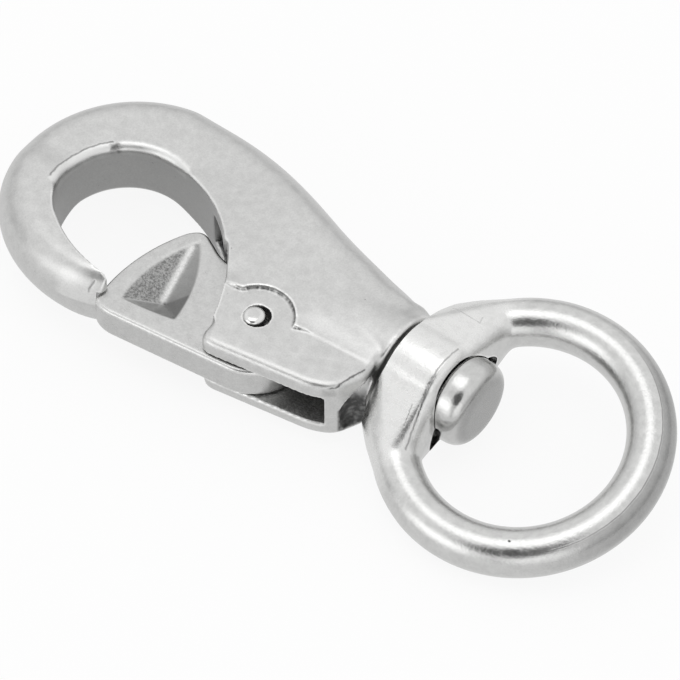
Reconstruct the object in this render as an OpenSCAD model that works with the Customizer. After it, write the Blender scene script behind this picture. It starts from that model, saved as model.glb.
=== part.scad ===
/* [Hook] */
// Outer radius of the bow
bow_r = 16.75; // [16.2:0.05:17.2]
// Thickness of the bow
bow_thick = 8.4; // [7.8:0.1:8.8]
// Radius of the bow's opening at the far wall
opening_r = 8.6; // [8:0.1:9]
// Thickness of the shoulder, flat on both faces
shoulder_thick = 10.7; // [10.3:0.1:11.3]
// Thickness over the two cheeks
cheek_thick = 9.5; // [8.9:0.1:10]
// Width of the slot between the cheeks
slot_w = 4.9; // [4.7:0.1:5.1]
// Angle at the bow's centre where the tip ends
tip_end_angle = 294; // [290:1:298]

/* [Gate] */
// Angle the gate opens by
gate_open = 40; // [30:1:42]
// Radius of the gate's knuckle round its pin
knuckle_r = 6.8; // [6:0.1:6.9]
// Diameter of the gate pin
pin_d = 2.75; // [2.5:0.05:3]
// Depth of the thumb recess in each face
recess_depth = 1.2; // [0.6:0.1:1.3]

/* [Swivel] */
// Mean radius of the ring
ring_r = 15.3; // [14.8:0.1:18]
// Diameter of the ring's round section
ring_wire_d = 6; // [5:0.1:6.6]
// Radius of the collar round the stud
collar_r = 6.5; // [6.4:0.1:7.2]
// Diameter of the stud's shank
stud_d = 5; // [4.4:0.1:5.2]
// Diameter of the stud's button head
head_d = 11; // [9.6:0.1:11.4]
// Thickness of the stud's button head
head_thick = 4.5; // [3.5:0.1:5]

/* [Spring] */
// Diameter of the gate spring's wire
wire_d = 0.7; // [0.5:0.05:0.8]
// Turns in the gate spring's coil
coil_turns = 3; // [2:1:3]

/* [Hidden] */
$fn = 64;

// Places along the swivel's axis, measured from the middle of the shoulder
axis_z = shoulder_thick / 2;
column_x = 11.3;            // slot's end face
flange_x = 13.5;            // flange's back
flange_face_x = 14.35;      // flange's front
collar_x = 15;              // collar's back face
collar_face_x = 20.5;       // collar's face inside the ring
head_x = 21.5;              // underside of the stud's head
ring_x = collar_x - 1.3 + ring_r + ring_wire_d / 2;     // middle of the ring
flange_r = 6.35;

// Clearances, each on one side
pin_run = 0.06;
stud_run = 0.08;
fixed_fit = 0.01;
slot_run = 0.4;             // round the gate's sweep
gate_side_gap = 0.2;        // between the gate and each cheek
gate_thick = slot_w - 2 * gate_side_gap;

// Bow and its opening, seen from above
bow = [-27.45, -1.45];
far_wall = [-27, -3.9];             // centre of the opening's far arc
shoulder_wall = [-27, -14.9];       // centre of the long arc towards the shoulder
shoulder_wall_r = far_wall.y + opening_r - shoulder_wall.y;
tip_wall = [-20.5, 4.8];            // centre of the arc inside the tip
tip_wall_r = 19.4;
cheek_wall = [-34.4, -21.9];        // centre of the cheeks' left edge
cheek_wall_r = 30;

// Gate pivot and the shapes round it
pin = [-2, -8.6];
gate_nose = [1.5, -12];             // centre of the gate's nose arc
gate_nose_r = 22;
gate_corner = [-19.6, -17.6];       // foot of the nose
gate_reach = norm(gate_corner - pin) + slot_run;
slot_floor_y = -4.4;
step_r = 4.6;                       // step in the shoulder round the pin
stud_depth = 8.5;

coil_r = 1.025 + pin_d / 2;
coil_pitch = wire_d + 0.05;
coil_h = coil_turns * coil_pitch;
groove_r = coil_r + 0.8;
groove_w = coil_h + wire_d + 0.2;

// The ring rolls over until its near side is as low as the collar
ring_roll = asin((collar_r - ring_wire_d / 2) / ring_r);

function arc(centre, r, from, to, steps = 16) =
    [for (i = [0 : steps]) let (a = from + (to - from) * i / steps)
        centre + r * [cos(a), sin(a)]];

// Points turned about the gate's pin, as the gate turns when it opens
function swung(points, angle) =
    [for (p = points) let (d = p - pin)
        pin + [d.x * cos(angle) + d.y * sin(angle), d.y * cos(angle) - d.x * sin(angle)]];

function at_z(points, z) = [for (p = points) [p.x, p.y, z]];

// A plate of the given thickness, centred on the swivel's axis
module plate(thick) {
    translate([0, 0, axis_z - thick / 2])
        linear_extrude(thick) children();
}

// A disc whose rim is fully rounded
module round_disc(r, thick) {
    rotate_extrude() {
        translate([r - thick / 2, 0]) intersection() {
            circle(d = thick);
            translate([0, -thick]) square([thick, 2 * thick]);
        }
        translate([0, -thick / 2]) square([r - thick / 2, thick]);
    }
}

// Everything in front of the bow's inner wall and the cheeks' left edge
module mouth_2d() {
    polygon(concat(
        arc(far_wall, opening_r, 236, 90, 24),
        arc(shoulder_wall, shoulder_wall_r, 88, 42, 12),
        arc(cheek_wall, cheek_wall_r, 42, 16, 8),
        [[-4.4, -15.6], [-4.4, -24]],
        [bow + 24 * [cos(tip_end_angle), sin(tip_end_angle)]],
        [bow + 14.6 * [cos(tip_end_angle), sin(tip_end_angle)]],
        arc(tip_wall, tip_wall_r, 271, 306 - 72, 8)));
}

// The slot: the gate's sweep, its knuckle and the open front
module slot_2d() {
    polygon(concat(
        [[column_x, -20], [column_x, slot_floor_y], [pin.x, slot_floor_y]],
        [pin + (knuckle_r + slot_run) * [cos(110 - gate_open), sin(110 - gate_open)]],
        swung([[-12.1, -1.95], [-16.5, -0.1]], gate_open),
        swung(arc(gate_nose, gate_nose_r + slot_run, 149, 193.5, 12), gate_open),
        arc(pin, gate_reach, 207 - gate_open, 212, 12),
        [[-14, -20]]));
    translate(pin) circle(knuckle_r + slot_run);
}

module cheeks_2d() {
    polygon(concat(
        arc(cheek_wall, cheek_wall_r, 44, 16, 8),
        [[-5, -14.6], [-3.8, -15.3], [10.4, -12.6], [12.6, -11.2], [13.3, -7], [flange_x, 0], [0, 4]]));
}

// The area beside the shoulder's step, at the cheeks' own thickness
module pad_2d() {
    translate([-25, -26]) square([flange_x + 25, 20]);
    translate(pin) circle(step_r);
}

module shoulder() {
    neck_x = flange_x - 1.2;
    rounding = 2.5;
    intersection() {
        hull() {
            translate([-19.5, 0.6, axis_z]) round_disc(14, bow_thick - 0.1, $fn = 32);
            translate([-2, 3, 0]) cylinder(r1 = 7 - rounding, r2 = 7, h = axis_z, $fn = 32);
            translate([-2, 3, axis_z]) cylinder(r1 = 7, r2 = 7 - rounding, h = axis_z, $fn = 32);
            translate([neck_x, 0, axis_z]) rotate([0, 90, 0])
                cylinder(r = flange_r - 0.05, h = flange_x - neck_x, $fn = 32);
        }
        union() {
            translate([-50, -30, 0]) cube([50 + neck_x, 60, shoulder_thick]);
            translate([neck_x, -30, -5]) cube([5, 60, shoulder_thick + 10]);
        }
    }
}

module hook_body() {
    color("silver") difference() {
        union() {
            translate([bow.x, bow.y, axis_z]) round_disc(bow_r, bow_thick);
            difference() {
                shoulder();
                for (side = [-1, 1])
                    translate([0, 0, axis_z + side * (cheek_thick + 10) / 2 - 5])
                        linear_extrude(10) pad_2d();
            }
            plate(cheek_thick) cheeks_2d();
            translate([flange_x, 0, axis_z]) rotate([0, 90, 0])
                cylinder(r = flange_r, h = flange_face_x - flange_x);
        }
        plate(shoulder_thick + 2) mouth_2d();
        plate(slot_w) slot_2d();
        translate([pin.x, pin.y, -1])
            cylinder(d = pin_d + 2 * fixed_fit, h = shoulder_thick + 2);
        translate([flange_face_x - stud_depth, 0, axis_z]) rotate([0, 90, 0])
            cylinder(d = stud_d + 2 * fixed_fit, h = stud_depth + 1);
    }
}

// Outline of the gate, from its front edge round the nose and the knuckle
module gate_2d() {
    polygon(concat(
        [[-18.6, -17.8], gate_corner],
        arc(gate_nose, gate_nose_r, 193.5, 150.5, 14),
        [[-16.6, -0.6], [-12.2, -2.4]],
        arc(pin, knuckle_r, 110, -81, 30)));
}

// A three-sided hollow with its corners on the gate's face, run on past the face
module thumb_recess() {
    corners = [[-18, -14.9], [-16.1, -1.9], [-10.5, -13.5]];
    deepest = [-14, -11.4];
    over = 0.5;
    rim = [for (c = corners) deepest + (c - deepest) * (recess_depth + over) / recess_depth];
    polyhedron(
        points = concat(at_z(rim, over), at_z([deepest], -recess_depth)),
        faces = [[0, 1, 2], [0, 3, 1], [1, 3, 2], [2, 3, 0]]);
}

module gate() {
    color("gainsboro") difference() {
        plate(gate_thick) gate_2d();
        translate([0, 0, axis_z + gate_thick / 2]) thumb_recess();
        mirror([0, 0, 1]) translate([0, 0, gate_thick / 2 - axis_z]) thumb_recess();
        translate([pin.x, pin.y, 0]) cylinder(d = pin_d + 2 * pin_run, h = shoulder_thick);
        plate(groove_w) {
            translate(pin) circle(groove_r);
            // Room for the spring's fixed leg while the gate turns
            polygon([pin, pin + [8, 3], pin + [8, 8], pin + [-1, 8]]);
        }
        // Pocket for the spring's moving leg
        translate([pin.x - 6.4, pin.y - coil_r - wire_d, axis_z - coil_h / 2 - wire_d])
            cube([6.4, 2 * wire_d, 2 * wire_d]);
    }
}

module gate_pin() {
    chamfer = 0.3;
    pin_len = cheek_thick + 0.3;
    color("lightgrey") translate([pin.x, pin.y, axis_z - pin_len / 2]) {
        cylinder(d1 = pin_d - 2 * chamfer, d2 = pin_d, h = chamfer);
        translate([0, 0, chamfer]) cylinder(d = pin_d, h = pin_len - 2 * chamfer);
        translate([0, 0, pin_len - chamfer])
            cylinder(d1 = pin_d, d2 = pin_d - 2 * chamfer, h = chamfer);
    }
}

// A torsion spring: one leg on the slot's floor, the coil, and one leg in the gate
module gate_spring() {
    sides = 8;
    steps_a_turn = 20;
    steps = coil_turns * steps_a_turn;
    coil = [for (i = [0 : steps]) let (a = 90 - i * 360 / steps_a_turn + 180 * i / steps)
        [coil_r * cos(a), coil_r * sin(a), coil_h / 2 - coil_h * i / steps]];
    floor_leg = [6, slot_floor_y - pin.y - wire_d / 2 - 0.05, coil_h / 2];
    gate_leg = [-6, -coil_r, -coil_h / 2];
    route = concat([floor_leg], coil, [gate_leg]);
    last = len(route) - 1;
    rings = [for (i = [0 : last])
        let (along = route[min(i + 1, last)] - route[max(i - 1, 0)],
             out = cross([0, 0, 1], along) / norm(cross([0, 0, 1], along)),
             up = cross(along, out) / norm(along))
        for (s = [0 : sides - 1])
            route[i] + wire_d / 2 * (out * cos(s * 360 / sides) + up * sin(s * 360 / sides))];
    walls = [for (i = [0 : last - 1], s = [0 : sides - 1])
        let (t = (s + 1) % sides)
        [i * sides + s, i * sides + t, (i + 1) * sides + t, (i + 1) * sides + s]];
    ends = [[for (s = [sides - 1 : -1 : 0]) s], [for (s = [0 : sides - 1]) last * sides + s]];
    color("dimgray") translate([pin.x, pin.y, axis_z])
        polyhedron(points = rings, faces = concat(walls, ends));
}

module swivel_ring() {
    web = ring_wire_d;
    spare = 1;              // the collar starts this far behind its face, and is cut back
    color("silver") difference() {
        translate([ring_x, 0, axis_z]) rotate([ring_roll, 0, 0]) union() {
            rotate_extrude() translate([ring_r, 0]) circle(d = ring_wire_d);
            translate([0, 0, -web / 2]) linear_extrude(web)
                polygon([[collar_x - ring_x - spare, -5], [collar_face_x - ring_x, -10],
                         [collar_face_x - ring_x, 10], [collar_x - ring_x - spare, 5]]);
            translate([collar_x - ring_x - spare, 0, 0]) rotate([0, 90, 0])
                cylinder(r = collar_r, h = collar_face_x - collar_x + spare);
        }
        translate([collar_x - 5, 0, axis_z]) rotate([0, 90, 0])
            cylinder(d = stud_d + 2 * stud_run, h = 12);
        translate([collar_x - 10, -20, axis_z - 20]) cube([10, 40, 40]);
    }
}

module swivel_stud() {
    rounding = 1.4;
    shank_x = flange_face_x - stud_depth;
    head_r = head_d / 2;
    color("lightgrey") translate([shank_x, 0, axis_z]) rotate([0, 90, 0]) {
        cylinder(d = stud_d, h = head_x - shank_x);
        translate([0, 0, head_x - shank_x]) rotate_extrude()
            polygon(concat([[0, 0]],
                arc([head_r - rounding, rounding], rounding, -90, 0, 6),
                arc([head_r - rounding, head_thick - rounding], rounding, 0, 90, 6),
                [[0, head_thick]]));
    }
}

hook_body();
gate();
gate_pin();
gate_spring();
swivel_ring();
swivel_stud();
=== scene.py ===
# %% [markdown]
# A swivel snap hook is a small piece of rigging hardware. Its hook and ring are cast
# in stainless steel by the lost-wax process and then tumbled with ceramic stones, so
# every edge is soft and every surface is a fine satin. Soft castings could be made
# with subdivision surfaces, but a casting that grows out of many simple forms is
# easier as clay: rough forms are put together, melted into one skin and then cut.

import math

import bmesh
import bpy
import numpy as np
from mathutils import Matrix, Vector


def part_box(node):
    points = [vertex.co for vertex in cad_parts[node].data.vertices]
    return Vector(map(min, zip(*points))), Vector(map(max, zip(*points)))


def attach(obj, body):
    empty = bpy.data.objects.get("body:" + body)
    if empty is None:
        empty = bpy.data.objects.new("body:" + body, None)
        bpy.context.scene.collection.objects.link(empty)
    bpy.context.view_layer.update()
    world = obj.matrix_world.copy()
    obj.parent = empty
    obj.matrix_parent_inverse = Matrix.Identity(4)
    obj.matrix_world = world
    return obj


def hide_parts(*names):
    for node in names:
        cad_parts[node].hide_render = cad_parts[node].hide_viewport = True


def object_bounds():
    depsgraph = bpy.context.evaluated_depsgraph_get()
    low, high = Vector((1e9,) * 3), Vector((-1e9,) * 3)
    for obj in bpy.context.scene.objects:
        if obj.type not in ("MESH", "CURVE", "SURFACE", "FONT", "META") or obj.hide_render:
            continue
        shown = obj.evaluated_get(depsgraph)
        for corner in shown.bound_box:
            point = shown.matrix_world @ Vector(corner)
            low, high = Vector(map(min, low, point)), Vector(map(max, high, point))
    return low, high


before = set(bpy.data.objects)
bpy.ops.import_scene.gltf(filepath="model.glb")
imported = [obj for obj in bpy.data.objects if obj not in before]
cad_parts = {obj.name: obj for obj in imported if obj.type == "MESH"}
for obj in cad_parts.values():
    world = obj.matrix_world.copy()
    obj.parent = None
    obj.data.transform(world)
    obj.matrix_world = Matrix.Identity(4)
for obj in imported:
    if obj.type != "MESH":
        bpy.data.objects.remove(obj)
cad_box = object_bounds()

MM = 0.001


def box_mm(node):
    """The low and high corners of a node's box, in millimetres."""
    low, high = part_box(node)
    return Vector(low) / MM, Vector(high) / MM


stud_low, stud_high = box_mm("swivel_stud")
pin_low, pin_high = box_mm("gate_pin")
gate_low, gate_high = box_mm("gate")
body_high = box_mm("hook_body")[1]
ring_low, ring_high = box_mm("swivel_ring")

axis_z = (stud_low.z + stud_high.z) / 2
pin = (pin_low + pin_high) / 2
pin_r = (pin_high.x - pin_low.x) / 2
flange_face = body_high.x
collar_back = ring_low.x
print("swivel axis at", round(axis_z, 2), "mm, gate pin at", [round(v, 2) for v in pin])

# %% [markdown]
# Each form starts as an outline seen from above. Long curves are arcs, and a form is
# lofted: the outline is copied to several heights, moved in a little near the faces
# so that the edges come out round, and the copies are joined with bridge_loops. That
# gives a rounded edge of any radius without a bevel, which can fold on tight curves.

# %% Outlines and lofts


def arc(centre, radius, start, end, count):
    """Points on an arc, in degrees, both ends included."""
    turn = [math.radians(start + (end - start) * i / count) for i in range(count + 1)]
    return [Vector((centre[0] + radius * math.cos(a), centre[1] + radius * math.sin(a))) for a in turn]


def corner(before, at, after, radius, count=6):
    """A rounded corner between three points, as a smooth curve of the given reach."""
    a = at + (before - at).normalized() * radius
    b = at + (after - at).normalized() * radius
    steps = [i / count for i in range(count + 1)]
    return [a * (1 - t) ** 2 + at * 2 * t * (1 - t) + b * t * t for t in steps]


def resampled(outline, spacing):
    """The same closed outline with points at an even spacing."""
    ends = list(zip(outline, outline[1:] + outline[:1]))
    total = sum((b - a).length for a, b in ends)
    count = int(total / spacing)
    points = []
    walked = 0.0
    for a, b in ends:
        span = (b - a).length
        while len(points) < count and len(points) * total / count <= walked + span and span > 0:
            points.append(a.lerp(b, (len(points) * total / count - walked) / span))
        walked += span
    return points


def moved_in(outline, amounts):
    """Each point moved to the outline's left by its own amount: inwards if it runs anticlockwise."""
    points = []
    for i, point in enumerate(outline):
        along = (outline[(i + 1) % len(outline)] - outline[i - 1]).normalized()
        points.append(point + Vector((-along.y, along.x)) * amounts[i])
    return points


def signed_area(outline):
    """Twice the area is the sum of cross products: positive when anticlockwise."""
    return sum(a.x * b.y - b.x * a.y for a, b in zip(outline, outline[1:] + outline[:1])) / 2


def loft(loops):
    """A closed form through loops of 3-D points, each with the same number of points."""
    form = bmesh.new()
    rims = []
    for loop in loops:
        verts = [form.verts.new(p) for p in loop]
        rims.append([form.edges.new((verts[i - 1], verts[i])) for i in range(len(verts))])
        if loop is loops[0] or loop is loops[-1]:
            form.faces.new(verts)
    for lower, upper in zip(rims, rims[1:]):
        bmesh.ops.bridge_loops(form, edges=lower + upper)
    bmesh.ops.recalc_face_normals(form, faces=form.faces)
    return form


def slab(outline, half, edge, steps=5):
    """A plate about the swivel's axis with both its edges rounded."""
    loops = []
    for side in (-1, 1):
        for i in range(steps + 1):
            a = math.pi / 2 * (i if side > 0 else steps - i) / steps
            inset = moved_in(outline, [edge * (1 - math.cos(a))] * len(outline))
            height = axis_z + side * (half - edge + edge * math.sin(a))
            loops.append([(p.x, p.y, height) for p in inset])
    return loft(loops)


def turned(profile, origin, steps=96):
    """A form turned about a line along X through origin, from (x, radius) points."""
    form = bmesh.new()
    verts = [form.verts.new((x, origin[1] + r, origin[2])) for x, r in profile]
    edges = [form.edges.new(pair) for pair in zip(verts, verts[1:])]
    bmesh.ops.spin(
        form, geom=verts + edges, cent=origin, axis=(1, 0, 0), dvec=(0, 0, 0),
        angle=math.tau, steps=steps, use_merge=True, use_duplicate=False)
    bmesh.ops.remove_doubles(form, verts=form.verts, dist=1e-4)
    bmesh.ops.recalc_face_normals(form, faces=form.faces)
    return form


disc = arc((0, 0), 1, 0, 360, 64)[:-1]
print("an outline of 64 points holds", round(signed_area(disc) / math.pi, 3), "of a true disc")

# %% [markdown]
# Clay is the voxel Remesh modifier: it fills the overlapping forms with small cubes
# and wraps one new skin round them. Smooth then melts the corners. Booleans cut the
# skin, as a file or a drill would. Everything is made in millimetres and only the
# finished mesh is turned to metres, which keeps the numbers readable.

# %% Clay and cuts


def held(name, form):
    """Puts a bmesh into an object, in millimetres."""
    mesh = bpy.data.meshes.new(name)
    form.to_mesh(mesh)
    form.free()
    obj = bpy.data.objects.new(name, mesh)
    bpy.context.collection.objects.link(obj)
    return obj


def applied(obj):
    """Applies the object's modifiers to its mesh."""
    graph = bpy.context.evaluated_depsgraph_get()
    mesh = bpy.data.meshes.new_from_object(obj.evaluated_get(graph))
    old = obj.data
    obj.modifiers.clear()
    obj.data = mesh
    bpy.data.meshes.remove(old)


def together(name, forms):
    """Several closed forms in one object, still overlapping."""
    whole = bmesh.new()
    for form in forms:
        mesh = bpy.data.meshes.new("form")
        form.to_mesh(mesh)
        form.free()
        whole.from_mesh(mesh)
        bpy.data.meshes.remove(mesh)
    return held(name, whole)


def melted(obj, voxel, rounds):
    """Remeshes the object as clay and smooths it."""
    clay = obj.modifiers.new("clay", "REMESH")
    clay.mode = "VOXEL"
    clay.voxel_size = voxel
    rub = obj.modifiers.new("rub", "SMOOTH")
    rub.factor = 0.5
    rub.iterations = rounds
    applied(obj)


def ramp(value, start, end):
    """Rises smoothly from 0 to 1 between start and end."""
    t = min(max((value - start) / (end - start), 0), 1)
    return t * t * (3 - 2 * t)


def rubbed(obj, centre, inner, outer, rounds):
    """Rubs one place smooth, fading out between two distances from its centre."""
    group = obj.vertex_groups.new(name="rub")
    for vert in obj.data.vertices:
        weight = 1 - ramp((vert.co - centre).length, inner, outer)
        if weight > 0:
            group.add([vert.index], weight, "REPLACE")
    rub = obj.modifiers.new("rub", "SMOOTH")
    rub.factor = 0.5
    rub.iterations = rounds
    rub.vertex_group = "rub"
    applied(obj)
    obj.vertex_groups.clear()


def cut(obj, form):
    """Cuts the object with a form, then throws the form away."""
    cutter = held("tool", form)
    knife = obj.modifiers.new("cut", "BOOLEAN")
    knife.operation = "DIFFERENCE"
    knife.solver = "MANIFOLD"
    knife.object = cutter
    applied(obj)
    mesh = cutter.data
    bpy.data.objects.remove(cutter)
    bpy.data.meshes.remove(mesh)


coarse_clay = 0.3
fine_clay = 0.19
print("the body's clay is", coarse_clay, "mm coarse at first and", fine_clay, "mm at the end")

# %% [markdown]
# Use rubs the edges of a hook bright, and the convex edges are also painted lighter as highlights,
# while the concave corners are painted darker as shade. Both could be painted by hand. Here
# they are read from the mesh: where a point stands proud of its neighbours the edge is worn
# and lit, and where it lies below them the corner is shaded. The marks are kept on the mesh,
# as attributes that the steel reads later.

# %% Wear, painted highlights and painted shade, and finished pieces


shortest_edge = 0.02
sharpest_bend = 8
sharp_radius = 0.5


def wear_and_painted_light(obj):
    """Marks every convex edge as worn and as a painted highlight, and every concave one as painted
    shade, from the bend there.
    """
    mesh = obj.data
    count = len(mesh.vertices)
    places = np.empty(count * 3)
    mesh.vertices.foreach_get("co", places)
    places = places.reshape(-1, 3)
    normals = np.empty(count * 3)
    mesh.vertices.foreach_get("normal", normals)
    normals = normals.reshape(-1, 3)
    pairs = np.empty(len(mesh.edges) * 2, dtype=np.int64)
    mesh.edges.foreach_get("vertices", pairs)
    a, b = pairs.reshape(-1, 2).T
    degree = np.maximum(np.bincount(a, minlength=count) + np.bincount(b, minlength=count), 1)

    def spread(values):
        """The mean of each vertex's neighbours."""
        return (np.bincount(a, values[b], count) + np.bincount(b, values[a], count)) / degree

    span = np.linalg.norm(places[a] - places[b], axis=1)
    mean_span = (np.bincount(a, span, count) + np.bincount(b, span, count)) / degree
    shift = np.stack([spread(places[:, i]) for i in range(3)], 1) - places
    bend = -2 * (shift * normals).sum(1) / np.maximum(mean_span, shortest_edge) ** 2
    bend = np.clip(bend, -sharpest_bend, sharpest_bend)
    for _ in range(3):
        bend = (bend + spread(bend)) / 2
    for name, values in (("wear_and_highlight", bend), ("cavity_shade", -bend)):
        mark = mesh.attributes.new(name, "FLOAT", "POINT")
        mark.data.foreach_set("value", np.clip(values * sharp_radius, 0, 1).astype(np.float32))


def finished(obj, body, node):
    """Turns the piece to metres and gives it its place in the frame."""
    wear_and_painted_light(obj)
    obj.data.transform(Matrix.Scale(MM, 4))
    obj.data.polygons.foreach_set("use_smooth", [True] * len(obj.data.polygons))
    obj.data.set_sharp_from_angle(angle=math.radians(40))
    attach(obj, body)
    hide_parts(node)
    print(obj.name, len(obj.data.polygons), "faces")


print("an edge rounder than", sharp_radius, "mm counts as partly worn")

# %% [markdown]
# The hook body is one casting: a round bow, a shoulder that narrows to the neck, two
# flat cheeks with the gate's slot between them, and a round flange for the swivel.
# The bow's outside is fully round, so its section is lofted as an ellipse whose
# height grows from the bow to the neck.

# %% The hook body's blank
bow = Vector((-27.1, -1.9))
bow_r = 17.2
tip_r = 16.3
bow_half = 4.2
shoulder_half = axis_z
neck_r = 6.3
cheek_half = 4.75
neck_x = flange_face - 0.4


def half_height(x, y):
    """Half the body's thickness, which falls to the cheeks' own beside the neck."""
    full = bow_half + (shoulder_half - bow_half) * ramp(x, -24, -6)
    beside = max(ramp(x, 1, 6), 1 - ramp(x, -9, -6.2)) * (1 - ramp(y, -6.4, -2.5))
    return full + (cheek_half + 0.1 - full) * beside


def shoulder_y(x):
    """The far edge from the bow to the neck, a long S."""
    wave = (1 + math.cos(math.pi * (x + 24) / 40)) / 2
    return 6.5 + 8.6 * wave + 0.35 * ramp(x, -4, 6) - 0.5 * ramp(x, 9, neck_x)


def bow_radius(angle):
    """The bow's outer radius, which falls a little towards the tip."""
    return bow_r - (bow_r - tip_r) * ramp(angle, 200, 262)


bow_turns = [305 - 2.5 * i for i in range(83)]
outer = [
    bow + Vector((math.cos(a), math.sin(a))) * bow_radius(math.degrees(a))
    for a in map(math.radians, bow_turns)]
far_edge = [Vector((x, shoulder_y(x))) for x in [-23.5 + i for i in range(37)] + [neck_x]]
near_edge = [Vector(p) for p in ((neck_x, -5.9), (2.6, -11.4), (-3, -13), (-9.5, -10), (-16, -12))]
blank_outline = list(reversed(outer + far_edge + near_edge))
near_the_tip = [1.0 - 0.2 * ramp(a, 266, 286) for a in bow_turns]
round_edge = list(reversed(near_the_tip + [1.0] * len(far_edge) + [0.0] * len(near_edge)))
edge_r = 4.1
blank_loops = []
for i in range(17):
    a = math.radians(-90 + 180 * i / 16)
    inset = [w * edge_r * (1 - math.cos(a)) for w in round_edge]
    points = moved_in(blank_outline, inset)
    blank_loops.append([(p.x, p.y, axis_z + math.sin(a) * bow_half) for p in points])
pressed = held("cast_hook_body", loft(blank_loops))
melted(pressed, coarse_clay, 3)
for vert in pressed.data.vertices:
    vert.co.z = axis_z + (vert.co.z - axis_z) * half_height(vert.co.x, vert.co.y) / bow_half
print("the blank has", len(pressed.data.polygons), "faces")

# %% [markdown]
# The cheeks are the two flat sides that hold the gate's pin, the neck is the stem
# under the swivel, and the flange is the round end that the ring turns against. They
# run into the blank without a line on the real casting, so they are put into it as
# simple forms and melted in. The join at the shoulder is then rubbed until it flows.

# %% The cheeks, the neck and the flange
cheek_wall = Vector((-34.1, -21.9))
cheek_wall_r = 30
front_left = Vector((-5.0, -15.5))
front_right = Vector((10.2, -12.7))
end_corner = Vector((12.6, -11.2))
cheek_outline = list(reversed(
    [Vector((-13, 0)), Vector((-12.4, -1.7))]
    + arc(cheek_wall, cheek_wall_r, 40, 18, 8)
    + corner(Vector((-6.0, -12.6)), front_left, front_right, 1.6)
    + corner(front_left, front_right, end_corner, 1.8)
    + corner(front_right, end_corner, Vector((14.1, -7.9)), 1.2)
    + [Vector((14.1, -7.9)), Vector((14.1, -6)), Vector((13.3, 0)), Vector((0, 3))]))
if signed_area(cheek_outline) < 0:
    cheek_outline.reverse()
cheek_outline = resampled(cheek_outline, 0.5)
cheeks = slab(cheek_outline, cheek_half, 1.0)
neck_profile = [(-6, 0), (-6, 4.4), (4, 5.4), (neck_x, neck_r)]
flange_edge = [(flange_face - 0.1, neck_r), (flange_face, neck_r - 0.15), (flange_face, 0)]
neck = turned(neck_profile + flange_edge, (0, 0, axis_z))
whole = bmesh.new()
whole.from_mesh(pressed.data)
hook_body = together("cast_hook_body", [whole, cheeks, neck])
bpy.data.objects.remove(pressed)
melted(hook_body, coarse_clay, 4)
for side in (-1, 1):
    rubbed(hook_body, Vector((7.5, 2.5, axis_z + side * 5.2)), 3.5, 6.8, 90)
print("the cheeks cover", round(signed_area(cheek_outline)), "square mm")

# %% [markdown]
# The mouth is the opening that holds the rope or the ring. Its far side, where the
# load hangs, has a broad round edge so that it doesn't cut a rope, and the rest of the
# edge is only just rounded. A bevel can't change width along an edge as smoothly as this, so the
# cutter itself is flared at both faces by a different amount at each point.

# %% The mouth
far_wall = Vector((-27, -3.9))
opening_r = 8.6
shoulder_wall = Vector((-27, -14.9))
shoulder_wall_r = far_wall.y + opening_r - shoulder_wall.y
tip_wall = Vector((-20.5, 4.8))
tip_face = [Vector((-19.95, -14.9)), Vector((-19.95, -19.5))]
mouth_outline = (
    [tip_face[1], tip_face[0]]
    + arc(tip_wall, 19.4, 270, 236, 12)
    + arc(far_wall, opening_r, 234, 92, 40)
    + arc(shoulder_wall, shoulder_wall_r, 90, 43, 26)
    + arc(cheek_wall, cheek_wall_r, 42, 18, 18)
    + [Vector((-5.2, -16)), Vector((-5, -24)), Vector((-19.95, -24))])
mouth_outline = resampled(list(reversed(mouth_outline)), 0.4)
print("mouth", signed_area(mouth_outline))


fine_edge = 0.3
broader_by = 0.9


def mouth_edge(point):
    """How far the mouth's edge is rounded: broad round the far side, fine elsewhere."""
    about = point - far_wall
    angle = math.degrees(math.atan2(about.y, about.x)) % 360
    return fine_edge + broader_by * ramp(angle, 58, 88) * (1 - ramp(angle, 198, 216))


rounds = [mouth_edge(p) for p in mouth_outline]
turns = [(a, 0.0) for a in range(0, 91, 15)] + [(90, 1.5)]
mouth_loops = []
for side in (-1, 1):
    for a, rise in turns if side > 0 else reversed(turns):
        t = math.radians(a)
        points = moved_in(mouth_outline, [-r * (1 - math.cos(t)) - rise * 0.2 for r in rounds])
        heights = [
            half_height(q.x, q.y) - r * (1 - math.sin(t)) + rise
            for q, r in zip(mouth_outline, rounds)]
        mouth_loops.append([(p.x, p.y, axis_z + side * h) for p, h in zip(points, heights)])
cut(hook_body, loft(mouth_loops))

# %% [markdown]
# Beside the neck the casting is scooped out, probably to clear the ring. A drill would
# leave an upright hole, but the scoop leans and narrows as it rises, so it is lofted
# through circles and cut.

# %% The flute beside the neck
scoop_at = Vector((14.5, -9.5))
scoop_lean = Vector((-1.2, 3.3))
scoop_r = 2.1
scoop_top = 4.0
scoop_shares = (
    (-4.1, 0.3), (-3.8, 0.75), (-3.2, 0.97), (-1.5, 1.0), (0.0, 1.0),
    (1.2, 0.9), (2.4, 0.68), (3.2, 0.4), (scoop_top, 0.06))
scoop_loops = []
for height, share in scoop_shares:
    middle = scoop_at + scoop_lean * max(height, 0) / scoop_top
    r = scoop_r * share
    scoop_loops.append([
        (middle.x + r * math.cos(a), middle.y + r * math.sin(a), axis_z + height)
        for a in [math.radians(10 * i) for i in range(36)]])
cut(hook_body, loft(scoop_loops))
print("the flute is", 2 * scoop_r, "mm wide and leaves", len(hook_body.data.polygons), "faces")

# %% [markdown]
# The cheeks lie lower than the shoulder, and a low step curves round the pin where
# they begin. Its wall is upright and crisp, so it isn't modelled in clay. It is a
# plain cut from above and below, with the step's outline as the cutter's edge.

# %% The step round the pin
step = Vector((-1.6, -8.7))
step_r = 4.7
ridge_right = Vector((13.6, -5.7))
pad = (
    arc(step, step_r, 150, 20, 20) + [Vector((4.6, -6.5)), ridge_right]
    + [Vector(p) for p in ((13.6, -20), (-16, -20), (-16, -7.2), (-7, -6.6))])
pad.reverse()


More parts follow.
